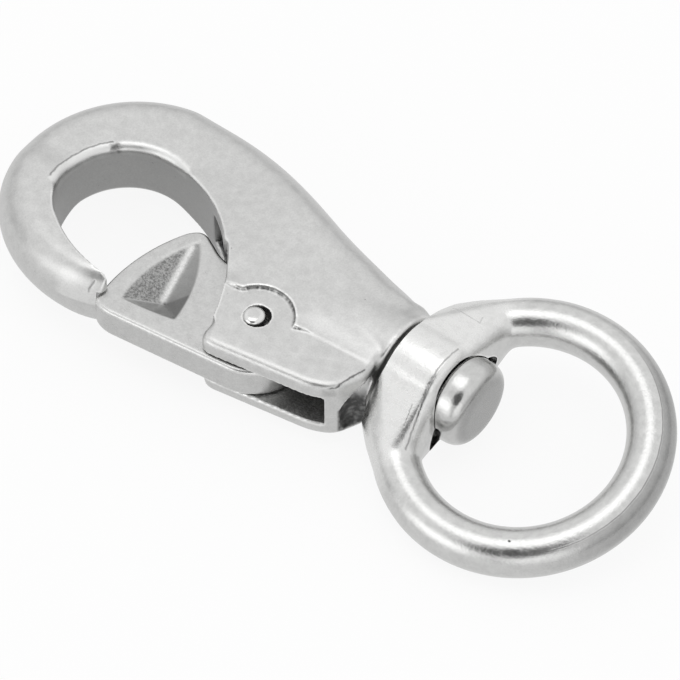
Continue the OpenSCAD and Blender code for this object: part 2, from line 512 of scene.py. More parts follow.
def punched(obj, outline, first, last):
    """Cuts an upright hole with this outline, between two heights above the swivel's axis."""
    cut(obj, loft([[(p.x, p.y, axis_z + z) for p in outline] for z in (first, last)]))


for side in (-1, 1):
    floor = side * (cheek_half + 0.02)
    punched(hook_body, pad, floor, floor + side * 4.0)
print("the step is", round(half_height(step.x, 0) - cheek_half, 2), "mm high")

# %% [markdown]
# The slot lets the gate swing into the hook. Its outline is the gate's own path: the
# gate's corner points are turned about the pin to the open place, and a little room
# is left all round.

# %% The slot


def swung(points, angle):
    """Points turned about the gate's pin as the gate turns when it opens."""
    turn = Matrix.Rotation(math.radians(-angle), 2)
    centre = pin.to_2d()
    return [centre + turn @ (p - centre) for p in points]


gate_open = 40
slot_half = 2.5
slot_run = 0.4
knuckle_r = 6.8
column_x = 11.3
slot_floor_y = -4.4
gate_nose = Vector((1.5, -12))
gate_nose_r = 22
gate_corner = Vector((-19.6, -17.6))
reach = (gate_corner - pin.to_2d()).length + slot_run
slot_outline = list(reversed(
    [Vector((column_x, -20)), Vector((column_x, slot_floor_y)), Vector((-1, slot_floor_y))]
    + arc(pin, knuckle_r + slot_run, 88, 70, 4)
    + swung([Vector((-12.1, -1.95)), Vector((-16.5, -0.1))], gate_open)
    + swung(arc(gate_nose, gate_nose_r + slot_run, 149, 193.5, 12), gate_open)
    + arc(pin, reach - 1.3, 207 - gate_open, 212, 12)
    + [Vector((-14, -20))]))
print("slot", signed_area(slot_outline))
punched(hook_body, slot_outline, -slot_half, slot_half)


def drilled(obj, at, r, half, steps=48):
    """Drills an upright hole, from half below the swivel's axis to half above it."""
    form = turned([(-half, 0), (-half, r), (half, r), (half, 0)], (0, 0, 0), steps)
    form.transform(Matrix.Translation((at.x, at.y, axis_z)) @ Matrix.Rotation(-math.pi / 2, 4, "Y"))
    cut(obj, form)


drilled(hook_body, pin, knuckle_r + slot_run, slot_half, 64)

# %% [markdown]
# The body's last skin is finer than the first, so that the small edges come out. Some
# places are then rubbed once more and the triangles are thinned, because a flat face
# needs few of them. Decimate keeps the triangles where the surface bends.

# %% The last skin of the body
drilled(hook_body, pin + Vector((0.3, 0.22, 0)), 1.7, 7, 64)
melted(hook_body, fine_clay, 1)
for side in (-1, 1):
    rubbed(hook_body, Vector((10.5, 4.0, axis_z + side * 4.5)), 4, 7.5, 20)
rubbed(hook_body, Vector((-19.6, -16.6, axis_z)), 3.0, 6, 9)
most_faces = 178000
thin = hook_body.modifiers.new("thin", "DECIMATE")
thin.ratio = min(1.0, most_faces / (2 * len(hook_body.data.polygons)))
applied(hook_body)
print("thinned to", len(hook_body.data.polygons), "faces")

# %% [markdown]
# The crisp things come last, since clay would soften them. The hook's tip ends in a
# flat face that the gate's nose meets, with a chamfer above and below. The pin is a
# tight fit in the cheeks, and the stud sits in a blind bore.

# %% The tip, the pin's hole and the stud's bore
tight = 0.01
chamfer_tilt = math.radians(38)
chamfer_turn = math.radians(-18)
near_tip = arc(pin, reach, 193, 214, 12) + [Vector((-16, -19)), Vector((-17, -13))]
punched(hook_body, near_tip, -slot_half, slot_half)
tip_x = tip_face[0].x
for side in (-1, 1):
    chamfer = bmesh.new()
    bmesh.ops.create_cube(chamfer, size=6.0)
    chamfer.transform(Matrix.Translation((0, 0, side * 3.0)))
    chamfer.transform(Matrix.Rotation(chamfer_tilt * side, 4, "Y"))
    chamfer.transform(Matrix.Rotation(chamfer_turn, 4, "Z"))
    chamfer.transform(Matrix.Translation((tip_x - 1.0, -16.8, axis_z + side * (bow_half - 0.05))))
    cut(hook_body, chamfer)
drilled(hook_body, pin, pin_r + tight, 8)
stud_r = 2.5
shank_x = stud_low.x


def bored(obj, first, last, r, steps=64):
    """Bores a round hole along the swivel's axis."""
    cut(obj, turned([(first, 0), (first, r), (last, r), (last, 0)], (0, 0, axis_z), steps))


bored(hook_body, shank_x, 20, stud_r + tight)
finished(hook_body, "hook", "hook_body")

# %% [markdown]
# The gate is a second casting. It is a lever cut from one outline, with a round
# knuckle on the pin and a three-sided hollow in each face for the thumb.

# %% The gate
gate_half = (gate_high.z - gate_low.z) / 2
nose = arc(gate_nose, gate_nose_r + 0.35, 193.3, 150.5, 20)
peak = Vector((-16.9, -0.1))
shoulder_corner = Vector((-12.2, -2.4))
knuckle = arc(pin, knuckle_r, 110, -81, 40)
front = Vector((-18.6, -17.8))
gate_outline = list(reversed(
    corner(knuckle[-1], front, nose[0], 1.2) + nose[:-1]
    + corner(nose[-2], peak, shoulder_corner, 1.4)
    + corner(peak, shoulder_corner, knuckle[0], 1.4)
    + knuckle))
print("gate", signed_area(gate_outline))
gate_outline = resampled(gate_outline, 0.4)
gate = held("cast_gate", slab(gate_outline, gate_half, 0.55))
melted(gate, 0.16, 2)

# %% [markdown]
# The thumb presses into a three-sided hollow in each face, with a low point near one
# corner and bowed walls. It is lofted down from its rim to the low point and cut, and
# the gate is melted once more so that the hollow's rim is soft like a casting's.

# %% The thumb recess
recess = [Vector((-18.0, -14.9)), Vector((-16.1, -1.9)), Vector((-10.5, -13.5))]
bulges = (1.2, 1.0, 0.15)
deepest = Vector((-14, -11.4))
recess_depth = 1.6
recess_shares = (
    (-0.8, 1.6), (-0.2, 1.2), (0.0, 1.03), (0.08, 0.96), (0.5, 0.54), (0.95, 0.1), (1.0, 0.02))


def recess_form(side):
    """A three-sided hollow with bowed walls and a sharp low point."""
    rim = []
    for a, b, bulge in zip(recess, recess[1:] + recess[:1], bulges):
        out = Vector(((b - a).y, -(b - a).x)).normalized()
        if ((a + b) / 2 - deepest).dot(out) < 0:
            out = -out
        rim += [a.lerp(b, t / 10) + out * bulge * 4 * (t / 10) * (1 - t / 10) for t in range(10)]
    loops = []
    for depth, share in recess_shares:
        z = axis_z + side * (gate_half - recess_depth * depth)
        shrunk = [deepest + (p - deepest) * share for p in rim]
        loops.append([(p.x, p.y, z) for p in shrunk])
    return loft(loops)


for side in (-1, 1):
    cut(gate, recess_form(side))
melted(gate, 0.14, 2)
for side in (-1, 1):
    rubbed(gate, Vector((-14.5, -9.5, axis_z + side * gate_half)), 5.5, 8, 5)
print("the recess is", recess_depth, "mm deep, and the gate has", len(gate.data.polygons), "faces")

# %% [markdown]
# Inside the knuckle are the pin's bore and the room for the spring. The coil sits in a
# wide round groove, and each of its two legs needs a room as wide as its travel while
# the gate swings. All of it is hidden, so plain cuts are enough.

# %% The gate's bore and the spring's rooms
gate_play = 0.06
drilled(gate, pin, pin_r + gate_play, 8)
groove_r = 3.2
groove_half = 1.575
drilled(gate, pin, groove_r, groove_half)
hub = pin.to_2d()
leg_room = [hub] + [hub + Vector(p) for p in ((8, 3), (8, 8), (-3.6, 8))]
punched(gate, leg_room, -groove_half, groove_half)
coil_half = 1.125
leg_half = 0.7
leg_top = hub + Vector((0, -1.95))
leg_bottom = swung([hub + Vector((0, -2.85))], -gate_open)
leg_sweep = (
    [leg_top, leg_top - Vector((6.4, 0))]
    + arc(pin, 6.75, 197.5, 205 + gate_open, 12) + leg_bottom)
punched(gate, leg_sweep, -coil_half - leg_half, -coil_half + leg_half)
finished(gate, "gate", "gate")

# %% [markdown]
# The ring and its collar are a third casting. The ring is a true torus, rolled a
# little about the swivel's axis so that its near side hangs as low as the collar.

# %% The ring
wire_r = 3.0
ring_r = 15.3
ring_x = ring_high.x - ring_r - wire_r
collar_r = 6.5
collar_face = 21.3
lip_face = 22.0
ring_roll = math.asin((collar_r - wire_r) / ring_r)

rolled = Matrix.Translation((ring_x, 0, axis_z)) @ Matrix.Rotation(ring_roll, 4, "X")


def torus():
    """The ring itself, rolled about the swivel's axis."""
    form = bmesh.new()
    made = bmesh.ops.create_circle(form, segments=48, radius=wire_r)
    turn = Matrix.Translation((ring_r, 0, 0)) @ Matrix.Rotation(math.pi / 2, 4, "X")
    bmesh.ops.transform(form, matrix=turn, verts=made["verts"])
    bmesh.ops.spin(
        form, geom=form.verts[:] + form.edges[:], cent=(0, 0, 0), axis=(0, 0, 1),
        dvec=(0, 0, 0), angle=math.tau, steps=128, use_merge=True, use_duplicate=False)
    bmesh.ops.remove_doubles(form, verts=form.verts, dist=1e-4)
    bmesh.ops.recalc_face_normals(form, faces=form.faces)
    form.transform(rolled)
    return form


collar_profile = (
    (collar_back - 1, 0), (collar_back - 1, 6.5), (collar_back, 6.5), (collar_back + 1, 6.55),
    (17.5, 6.6), (21.0, 6.6), (21.5, 6.35), (lip_face, 5.9), (lip_face, 0))
collar = turned(collar_profile, (0, 0, axis_z))
print("the ring rolls", round(math.degrees(ring_roll), 1), "degrees about the swivel's axis")

# %% [markdown]
# Between the collar and the ring the casting spreads into a web on each side. A web
# has no simple section, but it is the hull of the collar's rim and a few circles round
# the ring, so convex_hull makes it in one step and the clay joins it to the rest.

# %% The webs


def flare(side):
    """The web on one side: a hull from the collar's rim to the ring's own section."""
    form = bmesh.new()
    for x, r in ((collar_back - 1, 6.3), (lip_face - 0.8, 6.3), (lip_face, 5.7)):
        rim = bmesh.ops.create_circle(form, segments=40, radius=r)
        place = Matrix.Translation((x, 0, axis_z)) @ Matrix.Rotation(math.pi / 2, 4, "Y")
        bmesh.ops.transform(form, matrix=place, verts=rim["verts"])
    for angle, r, out in ((133, wire_r + 0.05, 0.0), (142, 3.3, 0.25), (151, 3.6, 0.6)):
        section = bmesh.ops.create_circle(form, segments=24, radius=r)
        place = (rolled @ Matrix.Rotation(math.radians(side * angle), 4, "Z")
                 @ Matrix.Translation((ring_r + out, 0, 0)) @ Matrix.Rotation(math.pi / 2, 4, "X"))
        bmesh.ops.transform(form, matrix=place, verts=section["verts"])
    hull = bmesh.ops.convex_hull(form, input=form.verts)
    bmesh.ops.delete(form, geom=hull["geom_interior"], context="VERTS")
    bmesh.ops.recalc_face_normals(form, faces=form.faces)
    return form


ring = together("cast_ring", [torus(), collar, flare(1), flare(-1)])
melted(ring, 0.26, 5)
melted(ring, 0.24, 1)
for side in (-1, 1):
    joint = rolled @ Matrix.Rotation(math.radians(side * 127), 4, "Z") @ Vector((ring_r, 0, 0))
    rubbed(ring, joint, 4.5, 7.5, 40)
print("the ring's clay has", len(ring.data.polygons), "faces")

# %% [markdown]
# The collar's face is recessed for the stud's head, with a dark hollow on each side of
# it. The back is cut flat, because it turns against the body's flange, and the bore
# runs right through. All of these have crisp edges, so they are cut after the clay.

# %% The collar's pocket, hollows, back and bore
pocket_r = 5.68
bored(ring, collar_face, 27, pocket_r, 96)
hollow_r = 5.5
for first, last, wide in ((180, 238, 1.9), (-6, 34, 1.1)):
    turns = [math.radians(first + (last - first) * i / 20) for i in range(21)]
    crescent = [(hollow_r * math.cos(a), hollow_r * math.sin(a)) for a in turns]
    for i in range(19, 0, -1):
        r = hollow_r + wide * math.sin(math.pi * i / 20)
        crescent.append((r * math.cos(turns[i]), r * math.sin(turns[i])))
    cut(ring, loft([[(x, y, axis_z + z) for y, z in crescent] for x in (21.0, 24.5)]))
back_cut = bmesh.new()
bmesh.ops.create_cube(back_cut, size=1.0)
back_cut.transform(Matrix.Translation((collar_back - 5, 0, axis_z)) @ Matrix.Diagonal((10, 40, 40, 1)))
cut(ring, back_cut)
ring_play = 0.08
bored(ring, 10, 25, stud_r + ring_play)
finished(ring, "ring", "swivel_ring")

# %% [markdown]
# The pin and the stud are turned on a lathe, so both are spun from their profiles. The
# pin's ends are slightly domed. The stud's head could be a sphere scaled flat, but its
# rim would be too thin, so its profile is a fuller curve.

# %% The pin and the stud
head_x = 21.5
head_face = stud_high.x + 0.25
head_r = (stud_high.y - stud_low.y) / 2 + 0.1
widest = head_x + 1.7
crown = [math.radians(a) for a in range(4, 177, 4)]
soft = 2 / 3.0
rim_r = 2.2
stud_profile = [(shank_x, 0), (shank_x, stud_r), (head_x, stud_r)]
for a in crown:
    r = rim_r + (head_r - rim_r) * math.sin(a) ** soft
    depth = abs(math.cos(a)) ** soft
    if math.cos(a) < 0:
        stud_profile.append((widest + (head_face - widest) * depth, r))
    elif r > stud_r + 0.3:
        stud_profile.append((widest - (widest - head_x) * depth, r))
stud_profile += [(head_face, 1.2), (head_face, 0)]
stud = held("headed_stud", turned(stud_profile, (0, 0, axis_z), 128))
finished(stud, "hook", "swivel_stud")

proud = 0.45
tall = cheek_half + proud
pin_end = [(0.0, 0.0), (0.02, 0.7), (0.1, 1.05), (0.24, 1.28), (0.45, pin_r)]
pin_profile = [(-tall + x, r) for x, r in pin_end] + [(tall - x, r) for x, r in reversed(pin_end)]
pin_form = turned(pin_profile, (0, 0, 0), 64)
pin_form.transform(Matrix.Translation(pin) @ Matrix.Rotation(-math.pi / 2, 4, "Y"))
gate_pin = held("turned_gate_pin", pin_form)
finished(gate_pin, "hook", "gate_pin")

# %% [markdown]
# The steel is the same alloy throughout, a nickel-chrome stainless, and only the way
# each surface was made differs. The finishes could be built by hand in the node editor,
# but five that share most of their nodes stay alike more easily in code. One function
# adds any node, so each line below says which node it adds.

# %% Adding nodes


def linear(code):
    """An sRGB colour such as "c8c8c8" in the linear values that shaders use."""
    parts = [int(code[i:i + 2], 16) / 255 for i in (0, 2, 4)]
    return tuple(p / 12.92 if p <= 0.04045 else ((p + 0.055) / 1.055) ** 2.4 for p in parts) + (1.0,)


def add(tree, kind, inputs=(), **settings):
    """Adds a shader node, sets its properties, gives its inputs values or links, in order
    or by name, and returns its outputs."""
    made = tree.nodes.new("ShaderNode" + kind)
    for name, value in settings.items():
        setattr(made, name, value)
    for key, value in inputs.items() if isinstance(inputs, dict) else enumerate(inputs):
        if isinstance(value, bpy.types.NodeSocket):
            tree.links.new(value, made.inputs[key])
        else:
            made.inputs[key].default_value = value
    return made.outputs


times = {"operation": "MULTIPLY"}
times_plus = {"operation": "MULTIPLY_ADD"}
minus = {"operation": "SUBTRACT"}
larger = {"operation": "MAXIMUM"}
smooth = {"interpolation_type": "SMOOTHSTEP"}
print("a grey of c8c8c8 is", round(linear("c8c8c8")[0], 3), "in linear light")

# %% [markdown]
# A tumbled casting has a fine sandy grain, shallow waves left by the wax, small gas
# pits and faint brighter and duller patches. Each is a noise at its own size in
# millimetres. An image of steel would need its own places on the mesh, but a noise
# fills the metal and so has no seams. The bumps are given as real heights, so they
# look right from near and far.

# %% The steel
grain_mm = 0.34
fine_grain_mm = 0.13
wax_wave_mm = 3.2
patch_mm = 1.3
pit_mm = 0.5
glint_mm = 0.22
grit_mm = 0.28
pit_um = 40.0
grit_um = 90.0
mark_um = 60.0
brightest = 1.24


def lumps(where, size_mm, detail=2.0, rough=0.5):
    """Inputs for a noise whose lumps are about size_mm across."""
    return {"Vector": where, "Scale": 1 / (size_mm * MM), "Detail": detail, "Roughness": rough}


def shaded(tree, tone, mask, share):
    """The tone, times one plus a share of the mask."""
    change = add(tree, "Math", (mask, share, 1.0), **times_plus)[0]
    return add(tree, "Math", (tone, change), **times)[0]


def steel(name, base, dull, grain_um, wave_um, pits, speckle,
          inner=None, walls=None, marks=None, bright=None, frost=0.0):
    """Satin stainless steel of a base colour and a roughness. Heights are in thousandths
    of a millimetre. The last five say where it has grit with painted shade, where it is darker
    and duller, where it has scars and painted shade, where it has painted highlights, and how
    much rougher those highlights are."""
    material = bpy.data.materials.new(name)
    material.use_nodes = True
    tree = material.node_tree
    shader = tree.nodes["Principled BSDF"]
    where = add(tree, "TexCoord")["Object"]
    grain = add(tree, "TexNoise", lumps(where, grain_mm, 3.0, 0.6))["Fac"]
    fine = add(tree, "TexNoise", lumps(where, fine_grain_mm, 2.0, 0.6))["Fac"]
    wave = add(tree, "TexNoise", lumps(where, wax_wave_mm, 1.0))["Fac"]
    patch = add(tree, "TexNoise", lumps(where, patch_mm, 5.0, 0.68))["Fac"]
    spots = add(tree, "TexNoise", lumps(where, pit_mm, 1.0))["Fac"]
    glint = add(tree, "TexNoise", lumps(where, glint_mm, 3.0, 0.7))["Fac"]
    wear_and_highlight = add(tree, "Attribute", attribute_name="wear_and_highlight")["Fac"]
    cavity_shade = add(tree, "Attribute", attribute_name="cavity_shade")["Fac"]
    pit = add(tree, "MapRange", (spots, 0.80, 0.84), **smooth)[0]
    pit = add(tree, "Math", (pit, pits), **times)[0]

    # Heights: the grain, the wax's waves and the pits
    height = add(tree, "Math", (grain, grain_um), **times)[0]
    height = add(tree, "Math", (fine, grain_um * 0.35, height), **times_plus)[0]
    height = add(tree, "Math", (wave, wave_um, height), **times_plus)[0]
    height = add(tree, "Math", (pit, -pit_um, height), **times_plus)[0]
    # Roughness: patches, and edges rubbed smoother
    rough = add(tree, "MapRange", (patch, 0.3, 0.7, dull - 0.05, dull + 0.06), **smooth)[0]
    rough = add(tree, "Math", (wear_and_highlight, -0.06, rough), **times_plus)[0]

    # Tone: patches, glints, worn edges painted lighter as highlights, corners painted darker as shade,
    # and dark pits
    tone = add(tree, "MapRange", (patch, 0.28, 0.72, 0.92, 1.05), **smooth)[0]
    glint = add(tree, "MapRange", (glint, 0.3, 0.7, 1 - speckle, 1 + speckle * 0.9), **smooth)[0]
    worn_and_lit_edge = add(tree, "MapRange", (wear_and_highlight, 0.15, 0.8, 1.0, 1.5), **smooth)[0]
    painted_corner_shade = add(tree, "MapRange", (cavity_shade, 0.2, 0.9, 1.0, 0.3), **smooth)[0]
    for share in (glint, worn_and_lit_edge, painted_corner_shade):
        tone = add(tree, "Math", (tone, share), **times)[0]
    tone = add(tree, "Math", (pit, -0.45, tone), **times_plus)[0]

    # Darker and rougher: painted shade on the body's walls and in the thumb recess, and the stud's
    # dull end face
    if walls:
        darker_and_duller = walls(tree, where)
        rough = add(tree, "Math", (darker_and_duller, 0.12, rough), **times_plus)[0]
        tone = shaded(tree, tone, darker_and_duller, -0.42)
    # Grit bumps and roughness, with painted shade darkening the grit
    if inner:
        grit_and_shade = inner(tree, where)
        grit = add(tree, "TexNoise", lumps(where, grit_mm, 3.0, 0.7))["Fac"]
        bumps = add(tree, "Math", (grit, grit_um), **times)[0]
        height = add(tree, "Math", (bumps, grit_and_shade, height), **times_plus)[0]
        rough = add(tree, "Math", (grit_and_shade, 0.12, rough), **times_plus)[0]
        dark = add(tree, "MapRange", (grit, 0.35, 0.65, 0.65, 0.2), **smooth)[0]
        dark = add(tree, "Math", (dark, grit_and_shade), **times)[0]
        tone = shaded(tree, tone, dark, -1.0)
    # Painted highlights: a paler tone, rougher by the frost
    if bright:
        painted_highlight_share = bright(tree, where)
        rough = add(tree, "Math", (painted_highlight_share, frost, rough), **times_plus)[0]
        tone = shaded(tree, tone, painted_highlight_share, 0.28)
    # Scars as dents, darkened, partly as painted shade
    if marks:
        mark = marks(tree, where)
        height = add(tree, "Math", (mark, -mark_um, height), **times_plus)[0]
        tone = shaded(tree, tone, mark, -0.85)

    tone = add(tree, "Math", (tone, brightest), operation="MINIMUM")[0]
    colour = add(tree, "VectorMath", {0: linear(base)[:3], "Scale": tone}, operation="SCALE")[0]
    bump = add(tree, "Bump", {"Height": height, "Distance": 1e-6, "Strength": 1.0})[0]
    tree.links.new(colour, shader.inputs["Base Color"])
    tree.links.new(rough, shader.inputs["Roughness"])
    tree.links.new(bump, shader.inputs["Normal"])
    shader.inputs["Metallic"].default_value = 1.0
    print(name, "has", len(tree.nodes), "nodes")
    return material


# %% [markdown]
# The stones don't reach everywhere, the mould leaves a few scars, and painted shade and
# painted highlights lie on some places, so each finish changes from place to place. The
# places could be painted on an image, but an image has a fixed grain. A mask made of
# distances stays sharp, and it is written in the same millimetres as the shape.

# %% Masks: a box, a half plane and a scratch


box_soft = 0.15


def within(tree, where, low, high, soft=box_soft):
    """1 inside a box given in millimetres and 0 outside, with soft sides."""
    mask = 1.0
    for part, a, b in zip(add(tree, "SeparateXYZ", (where,)), low, high):
        above = add(tree, "MapRange", (part, (a - soft) * MM, (a + soft) * MM), **smooth)[0]
        below = add(tree, "MapRange", (part, (b - soft) * MM, (b + soft) * MM, 1.0, 0.0), **smooth)[0]
        for side in (above, below):
            mask = add(tree, "Math", (mask, side), **times)[0]
    return mask


def left_of(tree, where, a, b, soft):
    """1 to the left of the line from a to b, seen from above, and 0 to its right."""
    x, y, z = add(tree, "SeparateXYZ", (where,))
    along = (b - a).normalized()
    x = add(tree, "Math", (x, a.x * MM), **minus)[0]
    y = add(tree, "Math", (y, a.y * MM), **minus)[0]
    over = add(tree, "Math", (y, along.x), **times)[0]
    over = add(tree, "Math", (x, -along.y, over), **times_plus)[0]
    return add(tree, "MapRange", (over, -soft * MM, soft * MM), **smooth)[0]


def scratch(tree, where, path, width, soft, wobble=0.25, top=2.8, strength=1.0):
    """A mask along a path of (x, y) points seen from above, with a rough edge, on whatever
    stands more than top above the swivel's axis."""
    shake = add(tree, "TexNoise", lumps(where, 0.6, 3.0))["Color"]
    shake = add(tree, "VectorMath", (shake, (0.5, 0.5, 0.5)), **minus)[0]
    shake = add(tree, "VectorMath", {0: shake, "Scale": wobble * MM}, operation="SCALE")[0]
    flat = add(tree, "VectorMath", (where, shake), operation="ADD")[0]
    flat = add(tree, "VectorMath", (flat, (1, 1, 0)), **times)[0]
    nearest = 1.0
    for (ax, ay), (bx, by) in zip(path, path[1:]):
        start = Vector((ax, ay, 0)) * MM
        along = Vector((bx - ax, by - ay, 0)) * MM
        share_of = along / along.length_squared
        off = add(tree, "VectorMath", (flat, start), **minus)[0]
        share = add(tree, "VectorMath", (off, share_of), operation="DOT_PRODUCT")["Value"]
        share = add(tree, "Math", (share, 0.0), operation="ADD", use_clamp=True)[0]
        foot = add(tree, "VectorMath", {0: along, "Scale": share}, operation="SCALE")[0]
        far = add(tree, "VectorMath", (off, foot), operation="DISTANCE")["Value"]
        nearest = add(tree, "Math", (nearest, far), operation="MINIMUM")[0]
    rim = (width / 2 - soft) * MM, (width / 2 + soft) * MM
    mask = add(tree, "MapRange", (nearest, *rim, strength, 0.0), **smooth)[0]
    if top is None:
        return mask
    up = add(tree, "SeparateXYZ", (where,))[2]
    rise = (axis_z + top - 0.2) * MM, (axis_z + top + 0.2) * MM
    above = add(tree, "MapRange", (up, *rise), **smooth)[0]
    return add(tree, "Math", (mask, above), **times)[0]


def highest(tree, masks):
    """The highest of several masks."""
    result = 0.0
    for mask in masks:
        result = add(tree, "Math", (result, mask), **larger)[0]
    return result


print("a box's sides fade over", 2 * box_soft, "mm")

# %% [markdown]
# Inside the thumb recess the far facet keeps the shell's grit, darkened as painted shade.
# The two near facets are smoother and duller and painted darker as shade, and the valley
# between them is left lighter.

# %% The thumb recess's grit and painted shade
recess_valley = [deepest + Vector((-0.5, 0.3)), recess[1] + Vector((-0.3, -1.5))]


def in_recess(tree, where):
    """1 below the gate's faces, round the recess."""
    up = add(tree, "SeparateXYZ", (where,))[2]
    off = add(tree, "Math", (up, axis_z * MM), **minus)[0]
    off = add(tree, "Math", (off,), operation="ABSOLUTE")[0]
    rim = (gate_half - 0.2) * MM, (gate_half - 0.03) * MM
    deep = add(tree, "MapRange", (off, *rim, 1.0, 0.0), **smooth)[0]
    about = within(tree, where, (-19, -16, -5), (-9.5, -1, 20))
    return add(tree, "Math", (deep, about), **times)[0]


def recess_grit_and_shade(tree, where):
    """The far facet keeps most of the shell's grit, darkened as painted shade."""
    beyond = left_of(tree, where, deepest, recess[1], 0.35)
    above = left_of(tree, where, recess[0], deepest, 0.25)
    far = add(tree, "Math", (beyond, above), **times)[0]
    valley = scratch(tree, where, recess_valley, 0.9, 0.4, top=None)
    far = shaded(tree, far, valley, -0.8)
    return add(tree, "Math", (in_recess(tree, where), far), **times)[0]


def recess_painted_shade(tree, where):
    """Painted shade over the recess, most on the near facets and least along the valley."""
    near = left_of(tree, where, deepest, recess[0], 0.25)
    side = left_of(tree, where, recess[1], deepest, 0.35)
    low = left_of(tree, where, deepest, recess[2], 0.4)
    near_low = add(tree, "Math", (near, low), **times)[0]
    shade = add(tree, "Math", (side, 0.75, 0.2), **times_plus)[0]
    shade = add(tree, "Math", (near_low, 0.5, shade), **times_plus)[0]
    valley = scratch(tree, where, recess_valley, 0.7, 0.35, top=None)
    shade = add(tree, "Math", (valley, -0.7, shade), **times_plus)[0]
    return add(tree, "Math", (in_recess(tree, where), shade), **times)[0]


print("the recess's valley is", round((recess_valley[1] - recess_valley[0]).length, 1), "mm long")

# %% [markdown]
# On the body, the mouth's upright walls, the flute beside the neck and the slot are
# painted darker as shade and are rougher, and the slot's inside also has the shell's grit.

# %% The body's painted shade


# The slot's inside has grit bumps, darkened as painted shade.
def slot_inside(tree, where):
    """The slot, as two boxes: the gate's side and the spring's side."""
    low, high = axis_z - slot_half - 0.02, axis_z + slot_half + 0.02
    swept = within(tree, where, (-17.5, -13.9, low), (-3, -0.5, high))
    straight = within(tree, where, (-3, -13.9, low), (column_x + 0.1, -1.2, high))
    return add(tree, "Math", (swept, straight), **larger)[0]


def near_point(tree, where, x, y, inner, outer):
    """1 within inner millimetres of a point on the axis's level, fading to 0 at outer."""
    point = Vector((x, y, axis_z)) * MM
    off = add(tree, "VectorMath", (where, point), operation="DISTANCE")["Value"]
    return add(tree, "MapRange", (off, inner * MM, outer * MM, 1.0, 0.0), **smooth)[0]


def upright_walls(tree, where):
    """Painted shade on the walls of the mouth, and of the cheeks beside the pin."""
    facing = add(tree, "NewGeometry")["Normal"]
    up = add(tree, "SeparateXYZ", (facing,))[2]
    up = add(tree, "Math", (up,), operation="ABSOLUTE")[0]
    steep = add(tree, "MapRange", (up, 0.2, 0.55, 1.0, 0.0), **smooth)[0]
    by_mouth = near_point(tree, where, bow.x, bow.y, 13.5, 15.5)
    by_pin = near_point(tree, where, step.x, step.y, 7.2, 7.6)
    behind = within(tree, where, (-9, -10.5, -20), (6, 0, 40))
    by_pin = add(tree, "Math", (by_pin, behind), **times)[0]
    near = add(tree, "Math", (by_mouth, by_pin), **larger)[0]
    return add(tree, "Math", (steep, near), **times)[0]


def flute_inside(tree, where):
    """Painted shade in the hollow beside the neck: a cone that leans as it rises."""
    up = add(tree, "SeparateXYZ", (where,))[2]
    risen = add(tree, "Math", (up, axis_z * MM), **minus)[0]
    risen = add(tree, "Math", (risen, scoop_top * MM), operation="DIVIDE", use_clamp=True)[0]
    lean = Vector((*scoop_lean, 0)) * MM
    foot = Vector((*scoop_at, 0)) * MM
    middle = add(tree, "VectorMath", (lean, risen, foot), **times_plus)[0]
    flat = add(tree, "VectorMath", (where, (1, 1, 0)), **times)[0]
    off = add(tree, "VectorMath", (flat, middle), operation="DISTANCE")["Value"]
    edge = add(tree, "Math", (risen, -0.85 * scoop_r * MM, (scoop_r + 0.12) * MM), **times_plus)[0]
    inside = add(tree, "Math", (edge, off), **minus)[0]
    mask = add(tree, "MapRange", (inside, -0.3 * MM, 0.15 * MM, 0.0, 2.0), **smooth)[0]
    ripple = add(tree, "TexNoise", lumps(where, 0.9, 2.0))["Fac"]
    ripple = add(tree, "MapRange", (ripple, 0.4, 0.7, 1.0, 0.75), **smooth)[0]
    foot_end = (axis_z - 4.3) * MM, (axis_z - 3.7) * MM
    top_end = (axis_z + 3.7) * MM, (axis_z + 4.2) * MM
    above_foot = add(tree, "MapRange", (up, *foot_end), **smooth)[0]
    below_top = add(tree, "MapRange", (up, *top_end, 1.0, 0.0), **smooth)[0]
    for share in (ripple, above_foot, below_top):
        mask = add(tree, "Math", (mask, share), **times)[0]
    return mask


def body_painted_shade(tree, where):
    """Painted shade on the upright walls, in the flute and in the slot above the gate's peak."""
    half = slot_half + 0.05
    peak_slot = within(tree, where, (-18, -6, axis_z - half), (-8, 5, axis_z + half))
    peak_slot = add(tree, "Math", (peak_slot, 1.1), **times)[0]
    return highest(tree, [upright_walls(tree, where), flute_inside(tree, where), peak_slot])


print("the slot is", 2 * slot_half, "mm wide and its grit ends", column_x, "mm along the axis")

# %% [markdown]
# The mould leaves a crease along the mouth's rim, a crack at the tip and a scab or two,
# and these are darkened, partly as painted shade. Lines of painted shade also run along the
# step's wall and the flute's rim, and the mouth's far rim and the tip carry painted
# highlights. Real scars wander, so their paths are shaken by noise.

# %% The body's scars, painted shade and painted highlights


def around(centre, r, angles):
    """Points round a centre, at angles in degrees."""
    turns = [math.radians(a) for a in angles]
    return [(centre.x + r * math.cos(a), centre.y + r * math.sin(a)) for a in turns]


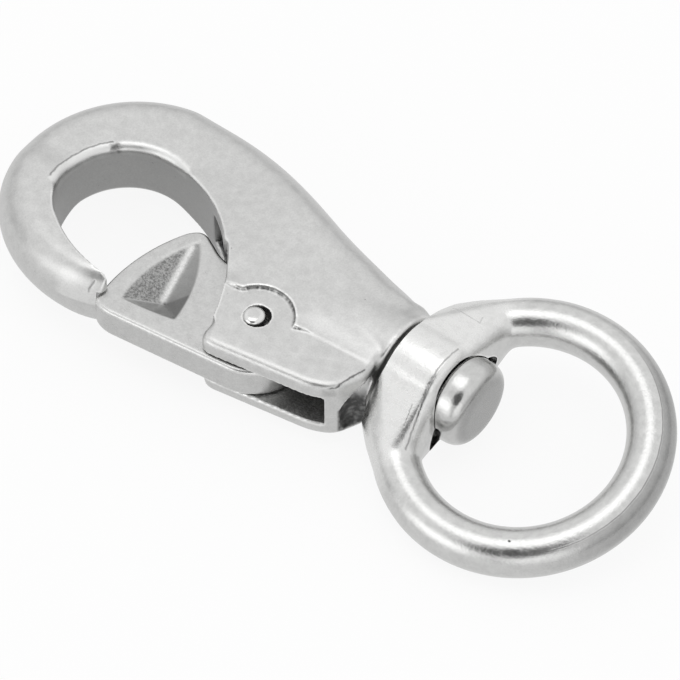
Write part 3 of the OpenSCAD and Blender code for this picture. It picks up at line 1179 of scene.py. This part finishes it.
def body_marks(tree, where):
    """Creases and scabs left by the mould, and painted shade along the step's wall and the flute's
    rim.
    """
    rim = around(far_wall, 9.75, (198, 186, 172, 158, 146, 138))
    scab = around(far_wall, 9.1, (139, 135))
    step_wall = around(step, step_r, (142, 122, 104, 86))
    step_end = around(step, step_r, (86, 66, 46, 26))
    flute_rim = [(11.2, -12.1), (12.4, -10.9), (12.9, -8.8), (13.5, -6.8)]
    return highest(tree, [
        scratch(tree, where, rim, 0.2, 0.14, 0.35, strength=0.75),
        scratch(tree, where, scab, 0.6, 0.4, 1.1, strength=0.8),
        scratch(tree, where, [(-21.2, -15.8), (-21.5, -16.6)], 0.2, 0.14, 0.3, 0.0, 0.7),
        scratch(tree, where, step_wall, 0.26, 0.16, 0.3, strength=0.4),
        scratch(tree, where, step_end, 0.12, 0.1, 0.2, strength=0.35),
        scratch(tree, where, flute_rim, 0.16, 0.12, 0.4, 4.2),
        scratch(tree, where, [(11.5, -12.1), (12.3, -11.3)], 0.5, 0.4, 0.6, 3.0, 0.3)])


def body_painted_highlight(tree, where):
    """Painted highlights on the mouth's far rim and on the tip."""
    left_rim = around(far_wall, 9.2, (200, 185, 170, 155, 143))
    right_rim = around(far_wall, 9.2, (130, 115, 100, 85, 72))
    tip = [(-24.5, -17.8), (-21.8, -17.2), (-20.4, -16.6)]
    return highest(tree, [
        scratch(tree, where, left_rim, 1.1, 0.3, 0.2),
        scratch(tree, where, right_rim, 1.0, 0.35, 0.2),
        scratch(tree, where, tip, 2.0, 1.0, 0.3, 0.5, 0.8)])


print("the rim's marks turn about", far_wall[:], "and the step's about", step[:])

# %% [markdown]
# The ring is ground brighter than the body. Its outer side is painted darker than its top,
# as shade, and the two meet in a faint line. The collar is left frosted and painted paler as
# a highlight, with creases where the web meets it that are darkened partly as painted shade.
# The stud's end face keeps the dull finish of its last cut.

# %% The ring's, the collar's and the stud's finish


def ring_outer_shade(tree, where):
    """Painted shade on the ring's outer side, and the faint line where it starts."""
    centre = Vector((ring_x, 0, axis_z)) * MM
    unrolled = add(
        tree, "VectorRotate", {"Vector": where, "Center": centre, "Angle": -ring_roll},
        rotation_type="X_AXIS")[0]
    local = add(tree, "VectorMath", (unrolled, centre), **minus)[0]
    x, y, z = add(tree, "SeparateXYZ", (local,))
    flat = add(tree, "VectorMath", (local, (1, 1, 0)), **times)[0]
    span = add(tree, "VectorMath", (flat,), operation="LENGTH")["Value"]
    out = add(tree, "Math", (span, ring_r * MM), **minus)[0]
    tilt = add(tree, "Math", (out, z), operation="ARCTAN2")[0]
    waver = add(tree, "TexNoise", lumps(where, 1.5, 2.0))["Fac"]
    waver = add(tree, "Math", (waver, 0.05, -0.025), **times_plus)[0]
    off = add(tree, "Math", (tilt, math.radians(29.5)), **minus)[0]
    off = add(tree, "Math", (off, waver), operation="ADD")[0]
    apart = add(tree, "Math", (off,), operation="ABSOLUTE")[0]
    line = add(tree, "MapRange", (apart, 0.015, 0.045, 0.5, 0.0), **smooth)[0]
    start = add(tree, "MapRange", (off, 0.0, 0.06, 0.0, 0.42), **smooth)[0]
    end = add(tree, "MapRange", (off, 0.7, 1.6, 1.0, 0.0), **smooth)[0]
    outer = add(tree, "Math", (start, end), **times)[0]
    about = add(tree, "Math", (y, x), operation="ARCTAN2")[0]
    about = add(tree, "Math", (about, 0.3), **minus)[0]
    about = add(tree, "Math", (about,), operation="ABSOLUTE")[0]
    far_end = add(tree, "MapRange", (about, 0.45, 1.3, 1.0, 0.0), **smooth)[0]
    facet = add(tree, "Math", (line, outer), **larger)[0]
    return add(tree, "Math", (facet, far_end), **times)[0]


def ring_marks(tree, where):
    """The outer side's painted shade, creases along the web darkened partly as painted shade, a wedge
    line with its painted shadow, and one gas pit.
    """
    web = [(21.0, 1.5), (20.95, -2.5), (21.1, -4.5), (21.5, -6.5), (22.2, -9), (22.6, -10.5)]
    wedge = [(16.2, 6.9), (18.4, 6.7), (20.4, 6.7), (20.1, 7.6)]
    return highest(tree, [
        ring_outer_shade(tree, where),
        scratch(tree, where, web, 0.17, 0.12, 0.3, -1, 0.6),
        scratch(tree, where, [(20.5, -6.6), (21.1, -8.9)], 0.1, 0.07, 0.2, -1, 0.35),
        scratch(tree, where, wedge, 0.12, 0.08, 0.3, strength=0.3),
        scratch(tree, where, [(39.9, -13.3), (40.0, -13.3)], 0.2, 0.08, 0.1, -4)])


def collar_frost_and_highlight(tree, where):
    """The collar is left frosted, so it is duller than the ring, and it is painted paler as a
    highlight, with a painted highlight along one ridge.
    """
    along = add(tree, "SeparateXYZ", (where,))[0]
    frosted = add(tree, "MapRange", (along, 20.6 * MM, 24 * MM, 0.9, 0.0), **smooth)[0]
    ridge = [(21.5, 1.0), (21.5, -4.5), (21.9, -6.5), (22.6, -9)]
    return highest(tree, [frosted, scratch(tree, where, ridge, 0.2, 0.1, 0.3, -1)])


def head_face_dull(tree, where):
    """The stud's end face keeps the dull ring of its last cut."""
    along = add(tree, "SeparateXYZ", (where,))[0]
    edge = (head_face - 0.8) * MM, (head_face - 0.08) * MM
    return add(tree, "MapRange", (along, *edge, 0.0, 0.85), **smooth)[0]


print("the ring rolls", round(math.degrees(ring_roll), 1), "degrees, and its facet rolls with it")

# %% [markdown]
# Every finish starts from stainless steel's own pale grey and from the roughness of
# its process: about 0.35 for a tumbled casting, 0.2 for a ground ring and 0.15 for a
# turned face. The patches and the glints then move it a little either way.

# %% The five finishes
# Tumbled investment casting: satin, sandy, with grit and painted shade in the slot
cast = steel(
    "tumbled_cast_steel", "cfcfce", 0.34, 14, 22, 0.8, 0.06,
    slot_inside, body_painted_shade, body_marks, body_painted_highlight, 0.05)
# The gate's casting: the same, a little darker, with grit and painted shade in the thumb recess
gate_cast = steel(
    "cast_gate_steel", "cacac9", 0.32, 13, 18, 0.6, 0.07, recess_grit_and_shade, recess_painted_shade)
# Ground and polished casting: long soft reflections, frosted and painted paler at the collar, with
# painted shade on the ring's outer side
ring_cast = steel(
    "polished_cast_steel", "d0d0cf", 0.21, 20, 16, 0.5, 0.03,
    marks=ring_marks, bright=collar_frost_and_highlight, frost=0.06)
# Turned bar: the brightest reflections, with a dull end face
turned_steel = steel(
    "turned_steel", "cbcbca", 0.15, 14, 10, 0.2, 0.03, walls=head_face_dull)
# Drawn spring wire: smooth and darker
spring_steel = steel("spring_wire", "a8a8a8", 0.3, 3, 3, 0.0, 0.03)


def dress(obj, material):
    """Gives a piece one material, in its only slot."""
    obj.data.materials.clear()
    obj.data.materials.append(material)
    obj.data.polygons.foreach_set("material_index", [0] * len(obj.data.polygons))


dress(hook_body, cast)
dress(gate, gate_cast)
dress(ring, ring_cast)
dress(stud, turned_steel)
dress(gate_pin, turned_steel)
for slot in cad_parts["gate_spring"].material_slots:
    slot.material = spring_steel
print("finishes:", [m.name for m in (cast, gate_cast, ring_cast, turned_steel, spring_steel)])

# %% [markdown]
# A small hook on a table is looked at from the front and above. A short lens close by
# would swell the nearer end. A long lens from four times the hook's length keeps the
# ring's and the bow's sizes true to each other.

# %% Camera
azimuth = math.radians(38.5)
elevation = math.radians(51)
target = Vector((6.0, -2.1, 5.35)) * MM
distance = 409.1 * MM
level = math.cos(elevation)
back = Vector((math.sin(azimuth) * level, -math.cos(azimuth) * level, math.sin(elevation)))
camera = bpy.data.objects.new("camera", bpy.data.cameras.new("camera"))
camera.location = target + back * distance
camera.rotation_euler = back.to_track_quat("Z", "Y").to_euler()
camera.data.lens = 178.5
camera.data.sensor_width = 36
camera.data.clip_start = 0.01
bpy.context.collection.objects.link(camera)
bpy.context.scene.camera = camera
bpy.context.scene.view_settings.view_transform = "Standard"
print("camera", round(distance / MM), "mm away")

# %% [markdown]
# A small shiny thing is shot in a tent of white cloth, with some parts brighter than
# the rest and a dark gap where the camera looks in. The gap is what draws the dark
# streaks down polished steel, and without it the metal looks like plaster. Area lamps
# would do too, but the world's own light has no edges to show in the steel.

# %% The tent
world = bpy.data.worlds.new("light_tent")
bpy.context.scene.world = world
world.use_nodes = True
tent = world.node_tree
direction = add(tent, "TexCoord")["Generated"]


def toward(tree, aim, inner, outer):
    """1 within inner degrees of a direction, fading to 0 at outer degrees."""
    near = add(tree, "VectorMath", (direction, Vector(aim).normalized()), operation="DOT_PRODUCT")
    rim = math.cos(math.radians(outer)), math.cos(math.radians(inner))
    return add(tree, "MapRange", (near["Value"], *rim), **smooth)[0]


height = add(tent, "SeparateXYZ", (direction,))[2]
glow = add(tent, "MapRange", (height, 0.0, 0.62, 0.62, 0.99), **smooth)[0]
# Direction, degrees of full light, degrees where it ends, and how much brighter
lamps = (
    ((-0.20, -0.02, 0.98), 8, 23, 0.8),
    ((-0.35, -0.92, 0.06), 14, 34, 0.72),
    ((-0.30, -0.84, 0.42), 8, 20, 0.35),
    ((0.60, -0.70, 0.15), 12, 28, 0.5))
for aim, inner, outer, more in lamps:
    glow = add(tent, "Math", (toward(tent, aim, inner, outer), more, glow), **times_plus)[0]
gap = toward(tent, (0.20, -0.63, 0.75), 14, 25)
glow = shaded(tent, glow, gap, -0.87)
tent.links.new(glow, tent.nodes["Background"].inputs["Strength"])
tent.nodes["Background"].inputs["Color"].default_value = (1, 1, 1, 1)
print("the tent has", len(lamps), "bright parts and one gap")

# %% [markdown]
# The table is white paper. It is lit from within for whatever looks at it or is
# mirrored in the steel, which keeps it white, and the rest of it is plain paper that
# takes the hook's soft shadow.

# %% The table
table_form = bmesh.new()
bmesh.ops.create_grid(table_form, x_segments=1, y_segments=1, size=2000)
table_form.transform(Matrix.Translation((0, 0, cad_box[0][2] / MM - 0.02)))
table = held("table", table_form)
table.data.transform(Matrix.Scale(MM, 4))
paper = bpy.data.materials.new("white_paper")
paper.use_nodes = True
tree = paper.node_tree
rays = add(tree, "LightPath")
mirrored = add(tree, "Math", (rays["Is Glossy Ray"], rays["Is Transmission Ray"]), **larger)[0]
seen = add(tree, "Math", (rays["Is Camera Ray"], mirrored), **larger)[0]
share = add(tree, "Math", (seen, 0.88), **times)[0]
strength = add(tree, "Math", (rays["Is Glossy Ray"], -0.12, 1.0), **times_plus)[0]
plain = add(tree, "BsdfDiffuse", {"Color": linear("f4f4f4")})[0]
lit = add(tree, "Emission", {"Color": (1, 1, 1, 1), "Strength": strength})[0]
mix = add(tree, "MixShader", (share, plain, lit))[0]
tree.links.new(mix, tree.nodes["Material Output"].inputs["Surface"])
table.data.materials.append(paper)
print("table at", round(cad_box[0][2] / MM - 0.02, 2), "mm")
